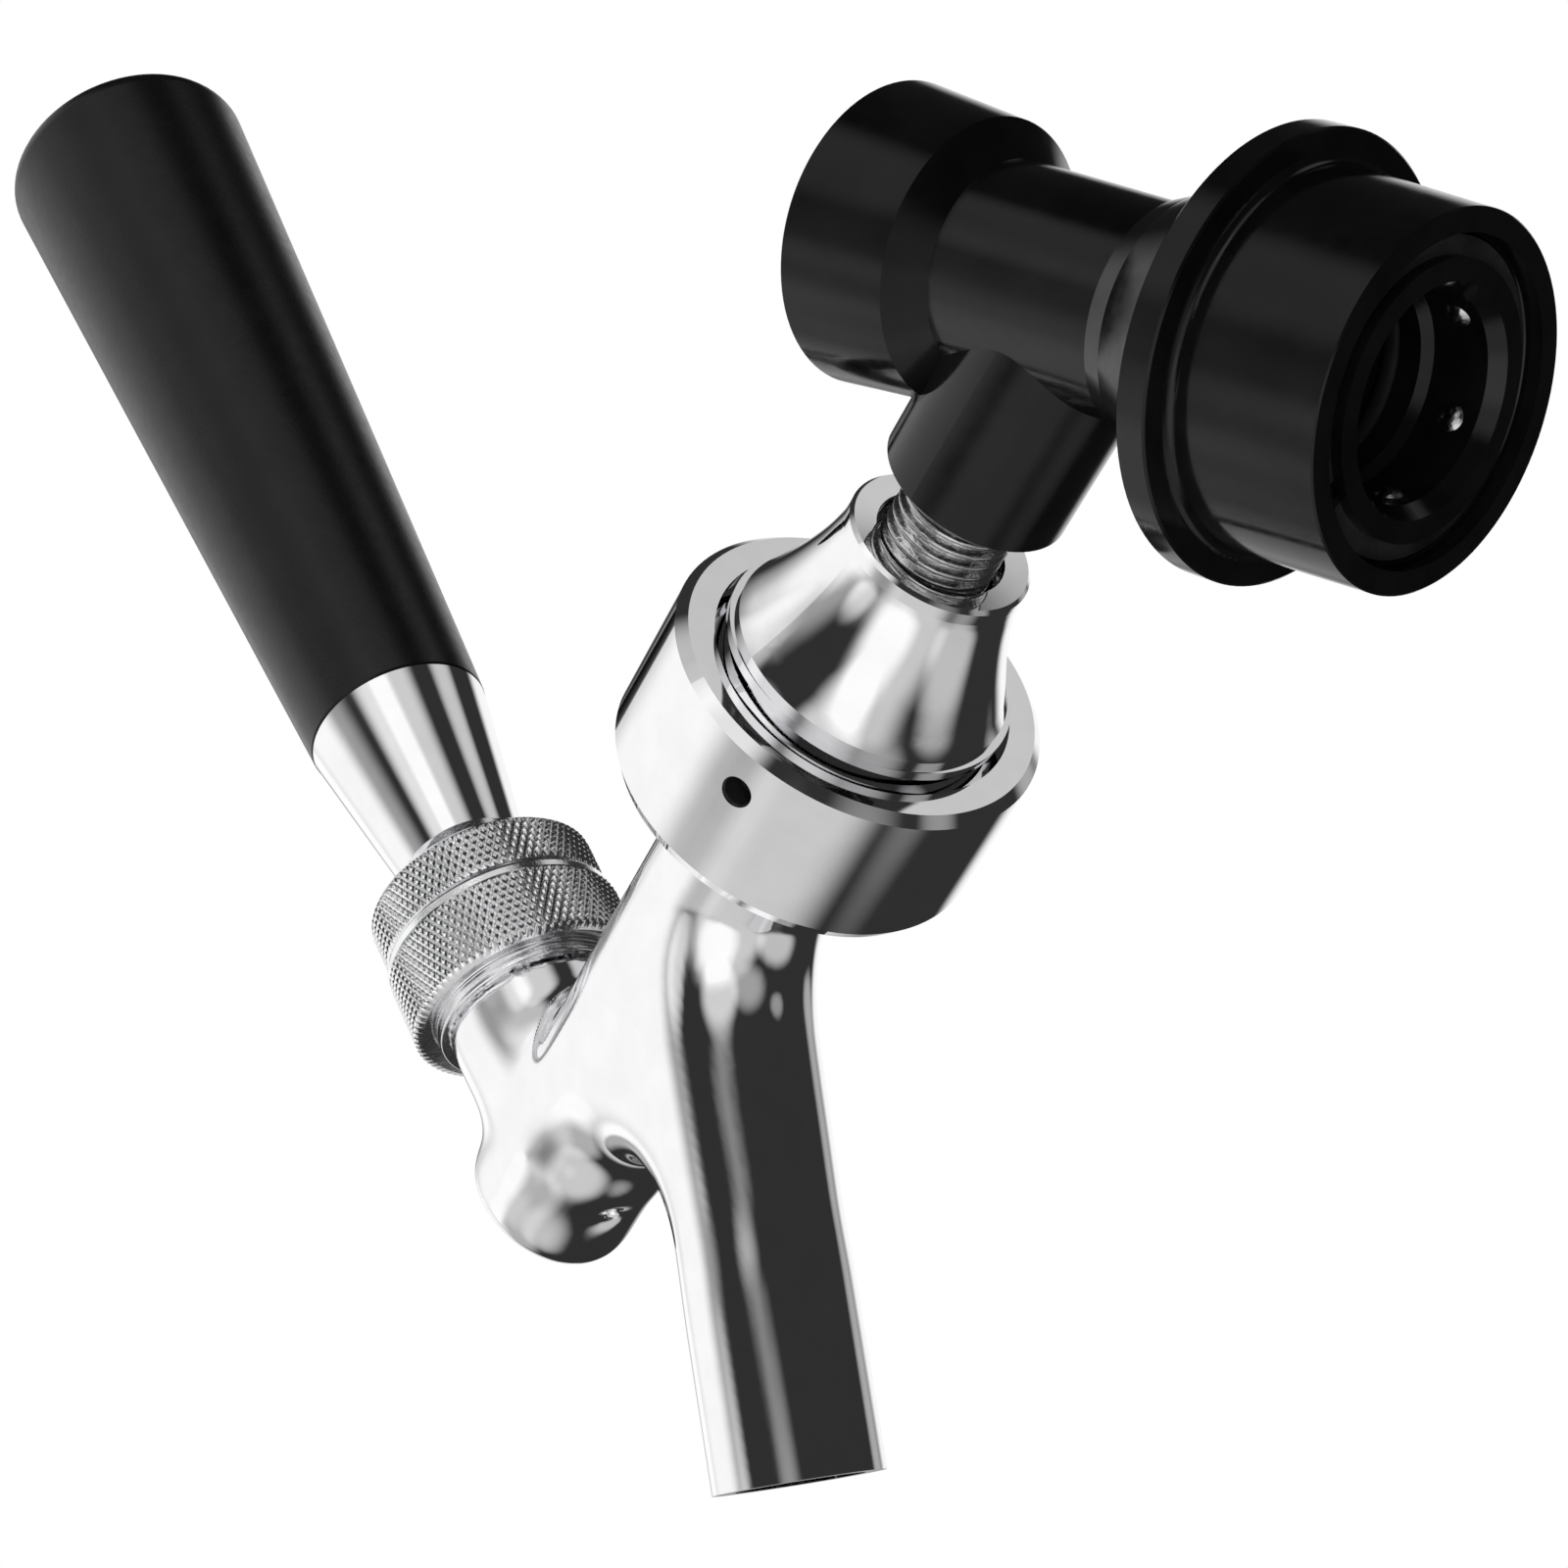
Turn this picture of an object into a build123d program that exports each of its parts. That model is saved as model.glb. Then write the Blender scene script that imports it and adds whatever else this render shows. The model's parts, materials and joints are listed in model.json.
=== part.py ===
from build123d import *
import math
import os

# Tap-and-coupler assembly for a ball-lock keg post, in millimetres.
# Frame: origin on the socket's axis at the lower end of the seal bore, +Z up through
# the cap, and the side branch leaning in the XZ plane towards +X. Heights below are
# counted from the open rim of the locking sleeve and moved to the origin on saving.

# --- shared clearances -------------------------------------------------------
running_gap = 0.08       # radial, between parts that slide or turn
static_gap = 0.04        # radial, between parts that are fixed together
seat_gap = 0.02          # axial, between faces that meet

# --- socket and ball lock ----------------------------------------------------
post_bore_r = 9.2
mouth_chamfer = 1.3
seal_bore_r = 8.4
seal_bore_z = 8.2
seal_shoulder_z = 15.4
seat_bore_r = 6.5
lip_setback = 0.5
tube_r = 12.2
mouth_groove_r = tube_r + 2.2
skirt_rim_r = mouth_groove_r + 2.2
skirt_root_r = skirt_rim_r + 0.4
sleeve_travel = 4.0
land_r = tube_r + 0.3
land_bottom_z = 4.1
land_height = 2.0
flange_r = skirt_root_r + 3.0
flange_thick = 3.1
sleeve_top_z = 17.95
sleeve_root_fillet = 0.9
piston_r = tube_r + 3.4
shoulder_z = 15.0
ball_r = 1.9
ball_count = 6
ball_z = 4.5
ball_protrusion = 0.55
ball_first_deg = -65.0
land_ramp = 2.37
ring_wire = 0.7
ring_top_z = 2.3
ring_proud_r = tube_r + 1.7
ring_groove = 0.7
ring_gap_deg = 60.0
socket_depth = 21.0
o_ring_wire_r = 1.1
o_ring_z = 11.6

# --- disconnect housing ------------------------------------------------------
cone_start_z = 19.0
cone_end_z = 27.1
cone_end_r = 11.6
neck_step_z = 29.4
neck_step_r = 10.7
neck_r = 10.0
neck_top_z = 48.4
head_front_r = 13.25
head_front_z = 51.0
head_back_r = 14.15
head_top_z = 62.7
head_edge = 0.35
chamber_r = 6.2
chamber_floor_z = 24.0
cap_r = 11.2
cap_thread_r = 9.8
cap_disc = 4.0
cap_plug = 7.0
cap_slot_width = 2.4
cap_slot_depth = 2.2
cap_ring_wire_r = 0.8
pin_r = 2.6
pin_setback = 0.3
pin_hole_r = 3.7
poppet_r = 5.6
poppet_thick = 2.0
poppet_stem_r = 2.0
poppet_stem_top_z = 44.0
poppet_seal_thick = 1.4
poppet_wire_r = 0.4
poppet_coil_r = 4.6
sleeve_wire_r = 0.45

# --- side branch, stud and adapter -------------------------------------------
branch_z = 38.2
branch_lean = 28.7
branch_r = 9.1
branch_length = 23.75
branch_bevel = 0.7
stud_r = 5.8
stud_bore_r = 2.6
stud_sunk = 9.5
stud_shown = 7.2
stud_engage = 8.6
gasket_thick = 1.2
adapter_top_r = 9.2
adapter_mouth_r = 6.55
adapter_mouth_depth = 1.6
adapter_dish = 0.35
adapter_base_r = 13.9
adapter_flare = 15.3
adapter_step = 1.9
adapter_thread_r = 14.2
adapter_engage = 9.0
adapter_bore_r = 5.0

# --- coupling nut ------------------------------------------------------------
nut_r = 19.0
nut_length = 17.46
nut_bevel = 0.62
nut_rear_chamfer = 0.9
nut_mouth_r = 15.33
nut_mouth_depth = 1.6
spanner_hole_r = 1.6
spanner_hole_depth = 3.2
spanner_hole_back = 5.34
spanner_hole_deg = -30.6
washer_thick = 2.0
tail_ring_r = 13.6
tail_ring_thick = 2.8

# --- faucet body -------------------------------------------------------------
faucet_turn = 15.35      # about the branch axis
barrel_r = 9.3
nose_x = 82.3            # all faucet x values run forward from the nut's front edge
nose_round = 1.2
column_x = 69.93
column_r = 9.9
column_top_z = 15.5
neck_thread_r = 9.0
neck_thread_top_z = 19.2
column_bore_r = 7.3
spout_r = 8.7
spout_root_r = 9.1
spout_bore_r = 6.6
spout_angle = 62.0
spout_branch_x = 36.9
spout_reach = 55.8
spout_bend_r = 20.0
spout_bore_bend_r = 12.0
crotch_r = 10.0
web_inset = 0.1
guide_bore_r = 5.6
nose_wall = 2.1
seat_x = 24.0
seat_wall = 2.6
seat_hole_r = 4.2
chamber_tail_r = 6.9
vent_r = 1.2
vent_x = 73.4
hub_fillet = 3.0
window_y_half = 3.5
window_back_top = 6.0
window_back_low = 9.6

# --- shaft -------------------------------------------------------------------
shaft_r = 2.4
paddle_x_half = 7.0
paddle_thick = 5.0
slot_half = 3.5
slot_y_half = 3.5
guide_length = 3.0
valve_r = 6.0
valve_thick = 2.6
valve_nut_r = 4.0
valve_nut_thick = 3.0
shaft_tail = 1.0

# --- lever, bonnet and handle -------------------------------------------------
pivot_z = 20.0
lever_ball_r = 7.0
lever_stem_r = 4.2
lever_tail_r = 2.2
lever_tip_r = 3.1
lever_lean = 1.4
cup_top_z = 17.2
cup_bottom_z = 12.5
cup_hole_r = 5.4
friction_low_z = 22.0
friction_high_z = 24.2
friction_hole_r = 6.4
bonnet_neck_r = 10.9
bonnet_low_z = 15.75
bonnet_face_z = 17.3
bonnet_face_r = 12.7
bonnet_r = 13.3
bonnet_top_z = 26.45
lock_ring_r = 12.85
lock_ring_top_r = 12.1
lock_ring_low_z = 26.95
lock_ring_top_z = 33.3
lock_ring_chamfer = 0.7
lock_spigot_r = 10.6
lock_spigot_depth = 1.2
bell_low_r = 6.5
bell_top_r = 10.1
ferrule_low_z = 37.0
ferrule_low_r = 7.2
ferrule_edge = 0.6
ferrule_top_z = 58.0
ferrule_top_r = 10.3
lever_thread_top_z = 52.0
grip_r_low = 10.4
grip_r_top = 14.95
grip_top_z = 156.4
grip_edge = 2.6
grip_insert_r = 6.0
grip_insert_depth = 14.0


# --- frames ------------------------------------------------------------------
lean = math.radians(branch_lean)
branch_dir = Vector(math.cos(lean), 0, math.sin(lean))
branch_root = Vector(0, 0, branch_z)
branch_up = Vector(-math.sin(lean), 0, math.cos(lean))
BRANCH = Plane(origin=branch_root, x_dir=(0, 1, 0), z_dir=branch_dir)

nut_front = branch_length + stud_shown + adapter_flare + adapter_step + 1.3
turn = math.radians(faucet_turn)
handle_dir = branch_up * math.cos(turn) + Vector(0, -1, 0) * math.sin(turn)
FAUCET = Plane(origin=branch_root + branch_dir * nut_front, x_dir=branch_dir, z_dir=handle_dir)
SHANK = Plane(origin=(0, 0, 0), x_dir=(0, 1, 0), z_dir=(1, 0, 0))


def turned(points):
    """Solid of revolution about Z from (radius, height) points."""
    return revolve(make_face(Plane.XZ * Polyline(*[(r, z) for r, z in points], close=True)), Axis.Z)


def rod(r, low, high):
    return Pos(0, 0, (low + high) / 2) * Cylinder(r, high - low)


def tube(r_out, r_in, low, high):
    return rod(r_out, low, high) - rod(r_in, low - 1, high + 1)


def ring(wire_r, mean_r, z):
    return Pos(0, 0, z) * Torus(mean_r, wire_r)


def coil(wire_r, mean_r, low, high, turns):
    """Closed-end compression spring between two heights."""
    path = Helix(pitch=(high - low - 2 * wire_r) / turns, height=high - low - 2 * wire_r, radius=mean_r)
    wire = sweep(Plane(path @ 0, z_dir=path % 0) * Circle(wire_r), path=path)
    return Pos(0, 0, low + wire_r) * wire


def on_branch(shape):
    return BRANCH.location * shape


def on_faucet(shape):
    return FAUCET.location * shape


def on_shank(shape):
    return FAUCET.location * SHANK.location * shape


def on_lever(shape):
    """Handle pieces, drawn upright and leaned about the pivot."""
    about = Pos(column_x, 0, pivot_z) * Rot(0, lever_lean, 0)
    return FAUCET.location * about * shape


def save(name, shape):
    export_step((Pos(0, 0, -seal_bore_z) * shape).solids()[0], "parts/%s.step" % name)


# --- disconnect ----------------------------------------------------------------
ball_centre_r = post_bore_r - ball_protrusion + ball_r
tube_bottom_z = lip_setback
cap_floor_z = head_top_z - cap_disc - cap_plug
stud_low = branch_length - stud_sunk
stud_high = branch_length + stud_shown + stud_engage
poppet_low_z = chamber_floor_z + poppet_seal_thick


def housing_outer():
    return turned([
        (0, tube_bottom_z), (tube_r, tube_bottom_z), (tube_r, shoulder_z), (piston_r, shoulder_z),
        (piston_r, cone_start_z), (cone_end_r, cone_end_z), (neck_step_r, neck_step_z),
        (neck_r, neck_step_z + 0.3), (neck_r, neck_top_z), (head_front_r, head_front_z),
        (head_back_r, head_top_z - head_edge), (head_back_r - head_edge, head_top_z), (0, head_top_z)])


def housing_branch():
    barrel = rod(branch_r, 0, branch_length)
    return on_branch(chamfer(barrel.edges().sort_by(Axis.Z)[-1], branch_bevel))


def socket_hollow():
    """Mouth and ball bore, seal bore with its groove, pin bore and poppet chamber."""
    mouth_r = post_bore_r + mouth_chamfer - 0.3
    bore = turned([
        (0, -1), (mouth_r, -1), (mouth_r, tube_bottom_z), (post_bore_r, tube_bottom_z + mouth_chamfer),
        (post_bore_r, seal_bore_z - post_bore_r + seal_bore_r), (seal_bore_r, seal_bore_z),
        (seal_bore_r, seal_shoulder_z), (seat_bore_r, seal_shoulder_z),
        (seat_bore_r, socket_depth), (pin_hole_r, socket_depth + 1.2), (pin_hole_r, chamber_floor_z),
        (chamber_r, chamber_floor_z), (chamber_r, cap_floor_z), (cap_thread_r, cap_floor_z),
        (cap_thread_r, head_top_z - cap_disc), (cap_r, head_top_z - cap_disc), (cap_r, head_top_z + 1),
        (0, head_top_z + 1)])
    groove = tube(seal_bore_r + 2 * o_ring_wire_r + 2 * static_gap, seal_bore_r - 1,
                  o_ring_z - o_ring_wire_r - 0.1, o_ring_z + o_ring_wire_r + 0.1)
    return bore + groove


def ball_places():
    return [ball_first_deg + 360 / ball_count * i for i in range(ball_count)]


def ball_pockets():
    """Radial holes, stopped short by a seat so that no ball falls into the bore."""
    hole = Pos(ball_centre_r + 5, 0, ball_z) * Rot(0, 90, 0) * Cylinder(ball_r + running_gap / 2, 10)
    seat = Pos(ball_centre_r, 0, ball_z) * Sphere(ball_r + running_gap / 2)
    return [Rot(0, 0, a) * (hole + seat) for a in ball_places()]


def disconnect_body():
    body = housing_outer() + housing_branch()
    body = body - socket_hollow()
    body = body - on_branch(rod(3.0, 0, stud_low + 1)) - on_branch(
        rod(stud_r + static_gap, stud_low, branch_length + 1))
    for pocket in ball_pockets():
        body = body - pocket
    groove = tube(tube_r + 1, tube_r - ring_groove, ring_top_z - ring_wire - seat_gap, ring_top_z + seat_gap)
    return body - groove


def retaining_ring():
    whole = tube(ring_proud_r, tube_r - ring_groove + static_gap, ring_top_z - ring_wire, ring_top_z)
    return whole - Rot(0, 0, ring_gap_deg) * Pos(ring_proud_r, 0, ring_top_z) * Box(5, 2.4, 4)


def locking_sleeve():
    groove_top = land_bottom_z - land_ramp
    cavity_top = shoulder_z - sleeve_travel - 0.05
    flange_low = sleeve_top_z - flange_thick
    upper_r = piston_r + 2 * running_gap
    body = turned([
        (mouth_groove_r, 0), (skirt_rim_r - 0.15, 0), (skirt_rim_r, 0.15), (skirt_root_r, flange_low),
        (flange_r - 0.2, flange_low), (flange_r, flange_low + 0.2), (flange_r, sleeve_top_z - 0.2),
        (flange_r - 0.2, sleeve_top_z), (upper_r, sleeve_top_z), (upper_r, cavity_top),
        (mouth_groove_r, cavity_top), (mouth_groove_r, land_bottom_z + land_height),
        (land_r, land_bottom_z + land_height), (land_r, land_bottom_z), (mouth_groove_r, groove_top)])
    root = [e for e in body.edges().filter_by(GeomType.CIRCLE)
            if abs(e.center().Z - flange_low) < 0.01 and abs(e.radius - skirt_root_r) < 0.01]
    return fillet(root, sleeve_root_fillet)


def sleeve_spring():
    low = land_bottom_z + land_height + seat_gap
    return coil(sleeve_wire_r, (tube_r + mouth_groove_r) / 2, low, shoulder_z - seat_gap, 4)


def socket_o_ring():
    return ring(o_ring_wire_r, seal_bore_r + o_ring_wire_r + static_gap, o_ring_z)


def top_cap():
    low = cap_floor_z + 1.5
    disc = rod(cap_r - static_gap, head_top_z - cap_disc + seat_gap, head_top_z - 0.4)
    plug = rod(cap_thread_r - static_gap, low, head_top_z - cap_disc + seat_gap)
    slot = Pos(0, 0, head_top_z - 0.4) * Box(cap_slot_width, 2 * cap_r - 5, 2 * cap_slot_depth)
    well = rod(poppet_stem_r + 0.3, low - 1, low + 3.5)
    seal_groove = tube(cap_thread_r + 1, cap_thread_r - 2 * cap_ring_wire_r - 2 * static_gap,
                       low + 1.4, low + 1.6 + 2 * cap_ring_wire_r)
    return disc + plug - slot - well - seal_groove


def cap_gasket():
    mean = cap_thread_r - cap_ring_wire_r - static_gap
    return ring(cap_ring_wire_r, mean, cap_floor_z + 3.0 + cap_ring_wire_r)


def poppet_pin():
    top = poppet_low_z + poppet_thick
    tip = seal_shoulder_z + pin_setback
    return turned([
        (0, tip), (pin_r - 0.6, tip), (pin_r, tip + 0.6), (pin_r, poppet_low_z),
        (poppet_r, poppet_low_z), (poppet_r, top), (poppet_stem_r, top),
        (poppet_stem_r, poppet_stem_top_z - 0.5), (poppet_stem_r - 0.5, poppet_stem_top_z),
        (0, poppet_stem_top_z)])


def poppet_seal():
    return tube(poppet_r - 0.2, pin_r + static_gap, chamber_floor_z + seat_gap, poppet_low_z - seat_gap)


def poppet_spring():
    low = poppet_low_z + poppet_thick + seat_gap
    return coil(poppet_wire_r, poppet_coil_r, low, cap_floor_z + 1.5 - seat_gap, 7)


def locking_ball(angle):
    return Rot(0, 0, angle) * Pos(ball_centre_r, 0, ball_z) * Sphere(ball_r)


# --- stud and adapter ------------------------------------------------------------
def threaded_stud():
    bar = rod(stud_r, stud_low + 1 + seat_gap, stud_high)
    bar = chamfer(bar.edges().filter_by(GeomType.CIRCLE), 0.5)
    return on_branch(bar - rod(stud_bore_r, stud_low, stud_high + 1))


def stud_gasket():
    low = stud_high + seat_gap
    return on_branch(tube(stud_r, stud_bore_r, low, low + gasket_thick))


adapter_top_x = -(nut_front - branch_length - stud_shown)
adapter_base_x = adapter_top_x + adapter_flare
adapter_step_x = adapter_base_x + adapter_step
socket_floor_x = stud_high + seat_gap * 2 + gasket_thick - nut_front


def adapter_flare_points():
    """Concave flare from the narrow socket end to the wide base."""
    grow = adapter_base_r - adapter_top_r
    steps = 7
    return [(adapter_top_r + grow * (i / steps) ** 1.6, adapter_top_x + 1.6 + (adapter_flare - 1.6) * i / steps)
            for i in range(steps + 1)]


def adapter_cone():
    flare = adapter_flare_points()
    profile = Plane.XZ * (Line((adapter_bore_r, adapter_engage), (adapter_bore_r, adapter_top_x + adapter_dish))
                          + Line((adapter_bore_r, adapter_top_x + adapter_dish), (adapter_top_r - adapter_dish, adapter_top_x))
                          + Line((adapter_top_r - adapter_dish, adapter_top_x), (adapter_top_r, adapter_top_x + adapter_dish))
                          + Line((adapter_top_r, adapter_top_x + adapter_dish), flare[0])
                          + Spline(*flare, tangents=[(0, 1), (0.62, 1)])
                          + Polyline(flare[-1], (adapter_base_r, adapter_base_x + 0.6),
                                     (adapter_base_r + 0.7, adapter_base_x + 0.6),
                                     (adapter_base_r + 0.7, adapter_step_x - 0.35),
                                     (adapter_thread_r, adapter_step_x - 0.35),
                                     (adapter_thread_r, adapter_engage), (adapter_bore_r, adapter_engage)))
    body = revolve(make_face(profile), Axis.Z)
    socket = rod(stud_r + static_gap, adapter_top_x - 1, socket_floor_x)
    mouth = turned([(0, adapter_top_x - 1), (adapter_mouth_r, adapter_top_x - 1),
                    (adapter_mouth_r, adapter_top_x + adapter_mouth_depth),
                    (stud_r, adapter_top_x + adapter_mouth_depth + 0.7), (0, adapter_top_x + adapter_mouth_depth)])
    return on_shank(body - socket - mouth)


# --- coupling nut ----------------------------------------------------------------
tail_x = adapter_engage + washer_thick + 2 * seat_gap
nut_back_x = nut_length - nut_bevel


def coupling_washer():
    low = adapter_engage + seat_gap
    return on_shank(tube(tail_ring_r - 0.3, adapter_bore_r + 0.6, low, low + washer_thick))


def tail_ring():
    return on_shank(tube(tail_ring_r, barrel_r + static_gap, tail_x, tail_x + tail_ring_thick))


def coupling_nut():
    thread_r = adapter_thread_r + running_gap
    inner_x = tail_x + tail_ring_thick + running_gap
    rear_hole_r = barrel_r + 1.3
    body = turned([
        (nut_mouth_r, -nut_bevel), (nut_r - nut_bevel * 1.6, -nut_bevel), (nut_r, 0.35),
        (nut_r, nut_back_x - nut_rear_chamfer * 1.6), (nut_r - nut_rear_chamfer, nut_back_x),
        (rear_hole_r, nut_back_x), (rear_hole_r, inner_x), (thread_r, inner_x),
        (thread_r, nut_mouth_depth), (nut_mouth_r, nut_mouth_depth - 0.9)])
    hole = rod(spanner_hole_r, nut_r - spanner_hole_depth, nut_r + 3)
    a = math.radians(spanner_hole_deg)
    place = Plane(origin=(spanner_hole_back - nut_bevel, 0, 0), x_dir=(1, 0, 0),
                  z_dir=(0, math.cos(a), math.sin(a)))
    return FAUCET.location * (SHANK.location * body - place.location * hole)


# --- faucet body -----------------------------------------------------------------
spout_dir = Vector(math.cos(math.radians(spout_angle)), 0, -math.sin(math.radians(spout_angle)))


def spout_path(start_x, bend_r, extra=0):
    corner = Vector(spout_branch_x, 0, 0)
    end = corner + spout_dir * (spout_reach + extra)
    return FilletPolyline((start_x, 0, 0), corner, end, radius=bend_r)


web_bend_r = crotch_r + spout_r
web_reach = web_bend_r / math.tan(math.radians(spout_angle / 2)) + 0.5


def crotch_web():
    """Rounded web that fills the corner between the nose and the front of the spout."""
    corner = Vector(spout_branch_x, 0, 0)
    bend_r, reach = web_bend_r, web_reach
    front = corner + Vector(reach, 0, 0)
    low = corner + spout_dir * reach
    path = FilletPolyline(front, corner, low, radius=bend_r)
    roll = sweep(Plane(origin=front, z_dir=(-1, 0, 0)) * Circle(spout_r), path=path)
    panel = make_face(path + Line(low, corner) + Line(corner, front))
    return roll + extrude(panel, spout_r - web_inset, dir=(0, 1, 0), both=True)


def spout_solid(r, start_x, bend_r, extra=0):
    path = spout_path(start_x, bend_r, extra)
    return sweep(Plane(origin=(start_x, 0, 0), z_dir=(1, 0, 0)) * Circle(r), path=path)


def spout_outer():
    """Bend, the taper behind the web, and the plain turned end below it."""
    corner = Vector(spout_branch_x, 0, 0)
    straight = spout_bend_r * math.tan(math.radians(spout_angle / 2))
    path = FilletPolyline((tail_x + 0.5, 0, 0), corner, corner + spout_dir * (straight + 0.5), radius=spout_bend_r)
    bend = sweep(Plane(origin=(tail_x + 0.5, 0, 0), z_dir=(1, 0, 0)) * Circle(spout_root_r), path=path)
    down = turned([(0, straight), (spout_root_r, straight), (spout_r, web_reach), (spout_r, spout_reach),
                   (0, spout_reach)])
    return bend + Plane(origin=corner, z_dir=spout_dir).location * down


def faucet_shell():
    """Barrel and lever column crossing in a ball hub, with the bent spout below."""
    bar = rod(barrel_r, tail_x, nose_x)
    bar = SHANK.location * fillet(bar.edges().sort_by(Axis.Z)[-1], nose_round)
    column = Pos(column_x, 0, 0) * (rod(column_r, 0, column_top_z) + Sphere(column_r))
    body = bar + column
    joint = [e for e in body.edges() if e.geom_type != GeomType.LINE
             and abs(e.center().X - column_x) < column_r + 0.1 and e.center().Z < column_top_z - 0.5]
    body = fillet(joint, hub_fillet)
    return body + spout_outer() + crotch_web()


def lever_window():
    """Slot under the column, opening backwards for the lever's tail."""
    outline = Polyline((0, 0, 0), (0, 0, cup_bottom_z), (-window_back_top, 0, cup_bottom_z),
                       (-window_back_low, 0, 0), close=True)
    return Pos(column_x, 0, 0) * extrude(make_face(outline), window_y_half, dir=(0, 1, 0), both=True)


def faucet_hollows():
    chamber = SHANK.location * rod(chamber_tail_r, tail_x - 1, seat_x)
    seat = SHANK.location * rod(seat_hole_r, seat_x - 1, seat_x + seat_wall + 1)
    bore = SHANK.location * rod(guide_bore_r, seat_x + seat_wall, nose_x - nose_wall)
    cup_step = Pos(column_x, 0, 0) * rod(cup_hole_r + 0.4, 0, cup_bottom_z)
    vent = Pos(vent_x, 0, 0) * rod(vent_r, -barrel_r - 2, 0)
    above = Pos(column_x, 0, 0) * rod(column_bore_r, cup_bottom_z, neck_thread_top_z + 1)
    passage = spout_solid(spout_bore_r, seat_x + seat_wall + 1.2, spout_bore_bend_r, 1)
    return [chamber, seat, bore, cup_step, lever_window(), above, vent, passage]


def faucet_body():
    body = faucet_shell() + Pos(column_x, 0, 0) * rod(neck_thread_r, column_top_z - 1, neck_thread_top_z)
    for hollow in faucet_hollows():
        body = body - hollow
    return on_faucet(body)


# --- shaft -------------------------------------------------------------------------
def plunger_shaft():
    """Shaft with a slotted paddle for the lever's tip and a land at its front end."""
    land_r_ = guide_bore_r - running_gap
    front = column_x + paddle_x_half + guide_length
    back = column_x - paddle_x_half
    stem_low = seat_x - valve_thick - valve_nut_thick - shaft_tail
    stem = rod(shaft_r, stem_low, back)
    paddle = rod(land_r_, back - guide_length, front)
    body = SHANK.location * (stem + paddle)
    flat = Box(2 * paddle_x_half, 4 * land_r_, 2 * land_r_)
    up = Pos(column_x, 0, paddle_thick / 2 + land_r_) * flat
    down = Pos(column_x, 0, -paddle_thick / 2 - land_r_) * flat
    slot = Pos(column_x, 0, 0) * Box(2 * slot_half, 2 * slot_y_half, 4 * land_r_)
    return on_faucet(body - up - down - slot)


def valve_washer():
    high = seat_x - seat_gap
    return on_shank(tube(valve_r, shaft_r + static_gap, high - valve_thick, high))


def valve_nut():
    high = seat_x - valve_thick - 2 * seat_gap
    body = extrude(RegularPolygon(valve_nut_r, 6), valve_nut_thick)
    return on_shank(Pos(0, 0, high - valve_nut_thick) * body - rod(shaft_r + static_gap, 0, seat_x))


# --- lever and bonnet ----------------------------------------------------------------
def ball_socket(extra):
    return Pos(0, 0, pivot_z) * Sphere(lever_ball_r + extra)


def on_column(shape):
    return on_faucet(Pos(column_x, 0, 0) * shape)


def ball_cup():
    body = tube(column_bore_r - static_gap, cup_hole_r, cup_bottom_z + seat_gap, cup_top_z)
    return on_column(body - ball_socket(running_gap / 2))


def friction_washer():
    body = tube(neck_thread_r - 0.2, friction_hole_r, friction_low_z, friction_high_z)
    return on_column(body - ball_socket(running_gap / 2))


def bell_r(z, extra=0):
    share = (z - friction_high_z) / (lock_ring_top_z - friction_high_z)
    return bell_low_r + (bell_top_r - bell_low_r) * share + extra


def compression_bonnet():
    inner_top = friction_high_z + seat_gap
    thread_r = neck_thread_r + static_gap
    body = turned([
        (thread_r, bonnet_low_z), (bonnet_neck_r - 0.2, bonnet_low_z), (bonnet_neck_r, bonnet_low_z + 0.2),
        (bonnet_neck_r, bonnet_face_z), (bonnet_face_r, bonnet_face_z), (bonnet_r, bonnet_face_z + 0.5),
        (bonnet_r, bonnet_top_z - 0.3), (bonnet_r - 0.4, bonnet_top_z), (lock_spigot_r, bonnet_top_z),
        (lock_spigot_r, bonnet_top_z - lock_spigot_depth),
        (bell_r(bonnet_top_z - lock_spigot_depth), bonnet_top_z - lock_spigot_depth),
        (bell_r(inner_top), inner_top), (thread_r, inner_top)])
    return on_column(body)


def bonnet_lock_ring():
    low = bonnet_top_z - lock_spigot_depth + seat_gap
    body = turned([
        (bell_r(low), low), (lock_spigot_r - static_gap, low), (lock_spigot_r - static_gap, lock_ring_low_z),
        (lock_ring_r - 0.2, lock_ring_low_z), (lock_ring_r, lock_ring_low_z + 0.2),
        (lock_ring_r, lock_ring_top_z - lock_ring_chamfer), (lock_ring_top_r, lock_ring_top_z),
        (bell_r(lock_ring_top_z), lock_ring_top_z)])
    return on_column(body)


def lever():
    """Drawn about the pivot: ball, tail with its tip, stem and threaded end."""
    tip_z = -pivot_z
    ball = Sphere(lever_ball_r)
    stem = rod(lever_stem_r, 0, ferrule_low_z - pivot_z + 0.6)
    thread = rod(lever_stem_r + 0.55, ferrule_low_z - pivot_z + 0.6, lever_thread_top_z - pivot_z)
    body = ball + stem + chamfer(thread.edges().sort_by(Axis.Z)[-1], 0.6)
    return on_lever(body) + on_faucet(
        Pos(column_x, 0, pivot_z) * (rod(lever_tail_r, tip_z, -1) + Pos(0, 0, tip_z) * Sphere(lever_tip_r)))


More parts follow.
